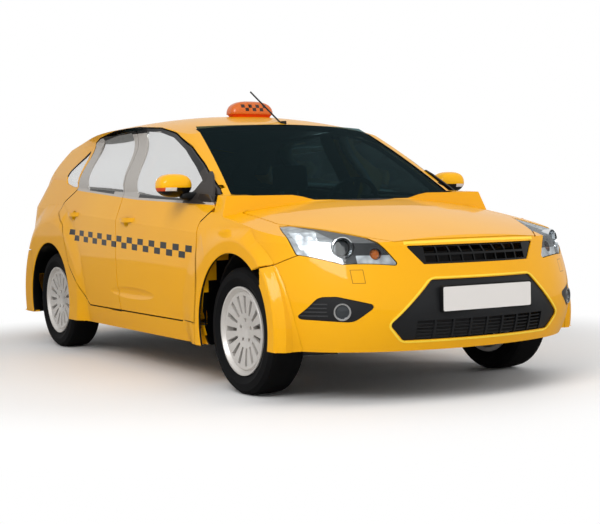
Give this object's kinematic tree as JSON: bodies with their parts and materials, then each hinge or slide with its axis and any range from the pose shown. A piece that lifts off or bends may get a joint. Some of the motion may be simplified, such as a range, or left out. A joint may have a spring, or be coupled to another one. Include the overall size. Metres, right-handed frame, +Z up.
{
  "type": "hatchback taxi cab",
  "caption": "Hatchback taxi cab with a roof sign, hinged doors, bonnet and tailgate, rolling wheels and steering.",
  "frame": {"origin": "on the ground, under the centre of the body", "axes": "+Z up, the front faces -Y, the car's left side is +X"},
  "size_m": [2.0182, 4.3304, 1.6377],
  "materials": {
    "paint": "gloss solid yellow paint",
    "inner_metal": "painted structure",
    "glass": "tinted clear",
    "lamp_clear": "clear lens",
    "lamp_red": "red lens",
    "black_trim": "grained black",
    "tyre": "matt rubber",
    "alloy": "silver lacquer",
    "steel": "dark cast and pressed steel",
    "seat_cloth": "dark woven cloth",
    "sign": "translucent orange",
    "cabin_plastic": "grained dark"
  },
  "bodies": {
    "body": {"roof_panel": "paint", "fender_left": "paint", "fender_right": "paint", "side_frame_left": "paint", "side_frame_right": "paint", "front_bumper": "paint", "rear_bumper": "paint", "rear_panel": "inner_metal", "floor_pan": "inner_metal", "bulkhead": "inner_metal", "front_frame": "inner_metal", "windscreen": "glass", "quarter_glass": "glass", "headlamps": "lamp_clear", "fog_lamps": "lamp_clear", "tail_lamps": "lamp_red", "cowl": "black_trim", "upper_grille": "black_trim", "lower_grille": "black_trim", "aerial": "black_trim", "lamp_units": "black_trim", "front_suspension": "steel", "rear_axle": "steel", "engine_block": "steel", "radiator": "steel", "exhaust": "steel", "front_seats": "seat_cloth", "rear_seat": "seat_cloth", "taxi_sign": "sign", "dashboard": "cabin_plastic"},
    "bonnet": {"bonnet": "paint"},
    "tailgate": {"tailgate": "paint", "tailgate_glass": "glass"},
    "front_door_left": {"front_door_left": "paint", "front_door_glass_left": "glass", "mirror_left": "paint"},
    "rear_door_left": {"rear_door_left": "paint", "rear_door_glass_left": "glass"},
    "front_wheel_left": {"front_tyre_left": "tyre", "front_rim_left": "alloy"},
    "rear_wheel_left": {"rear_tyre_left": "tyre", "rear_rim_left": "alloy"},
    "knuckle_left": {"knuckle_left": "steel"},
    "front_door_right": {"front_door_right": "paint", "front_door_glass_right": "glass", "mirror_right": "paint"},
    "rear_door_right": {"rear_door_right": "paint", "rear_door_glass_right": "glass"},
    "front_wheel_right": {"front_tyre_right": "tyre", "front_rim_right": "alloy"},
    "rear_wheel_right": {"rear_tyre_right": "tyre", "rear_rim_right": "alloy"},
    "knuckle_right": {"knuckle_right": "steel"},
    "steering_wheel": {"steering_wheel": "cabin_plastic"}
  },
  "joints": [
    {"name": "front_door_left_swing", "type": "hinge", "parent": "body", "child": "front_door_left", "pos_m": [0.9, -0.87, 0.6], "axis": [0, 0, -1], "range_deg": [0, 65]},
    {"name": "rear_door_left_swing", "type": "hinge", "parent": "body", "child": "rear_door_left", "pos_m": [0.9, 0.235, 0.6], "axis": [0, 0, -1], "range_deg": [0, 65]},
    {"name": "steer_left", "type": "hinge", "parent": "body", "child": "knuckle_left", "pos_m": [0.7, -1.3005, 0.19], "axis": [-0.2161, 0, 0.9764], "range_deg": [-35, 35]},
    {"name": "front_wheel_left_spin", "type": "hinge", "parent": "knuckle_left", "child": "front_wheel_left", "pos_m": [0.7675, -1.3005, 0.316], "axis": [1, 0, 0], "continuous": true},
    {"name": "rear_wheel_left_spin", "type": "hinge", "parent": "body", "child": "rear_wheel_left", "pos_m": [0.7675, 1.3395, 0.316], "axis": [1, 0, 0], "continuous": true},
    {"name": "front_door_right_swing", "type": "hinge", "parent": "body", "child": "front_door_right", "pos_m": [-0.9, -0.87, 0.6], "axis": [0, 0, 1], "range_deg": [0, 65]},
    {"name": "rear_door_right_swing", "type": "hinge", "parent": "body", "child": "rear_door_right", "pos_m": [-0.9, 0.235, 0.6], "axis": [0, 0, 1], "range_deg": [0, 65]},
    {"name": "steer_right", "type": "hinge", "parent": "body", "child": "knuckle_right", "pos_m": [-0.7, -1.3005, 0.19], "axis": [0.2161, 0, 0.9764], "range_deg": [-35, 35]},
    {"name": "front_wheel_right_spin", "type": "hinge", "parent": "knuckle_right", "child": "front_wheel_right", "pos_m": [-0.7675, -1.3005, 0.316], "axis": [1, 0, 0], "continuous": true},
    {"name": "rear_wheel_right_spin", "type": "hinge", "parent": "body", "child": "rear_wheel_right", "pos_m": [-0.7675, 1.3395, 0.316], "axis": [1, 0, 0], "continuous": true},
    {"name": "bonnet_lift", "type": "hinge", "parent": "body", "child": "bonnet", "pos_m": [0, -1.1, 0.915], "axis": [-1, 0, 0], "range_deg": [0, 55]},
    {"name": "tailgate_lift", "type": "hinge", "parent": "body", "child": "tailgate", "pos_m": [0, 1.53, 1.385], "axis": [1, 0, 0], "range_deg": [0, 80]},
    {"name": "steering_wheel_turn", "type": "hinge", "parent": "body", "child": "steering_wheel", "pos_m": [0.36, -0.43, 0.905], "axis": [0, 0.9135, 0.4067], "range_deg": [-490, 490]}
  ],
  "couplings": [
    {"joint": "steer_left", "follows": "steer_right", "ratio": 1},
    {"joint": "steering_wheel_turn", "follows": "steer_right", "ratio": 14}
  ]
}
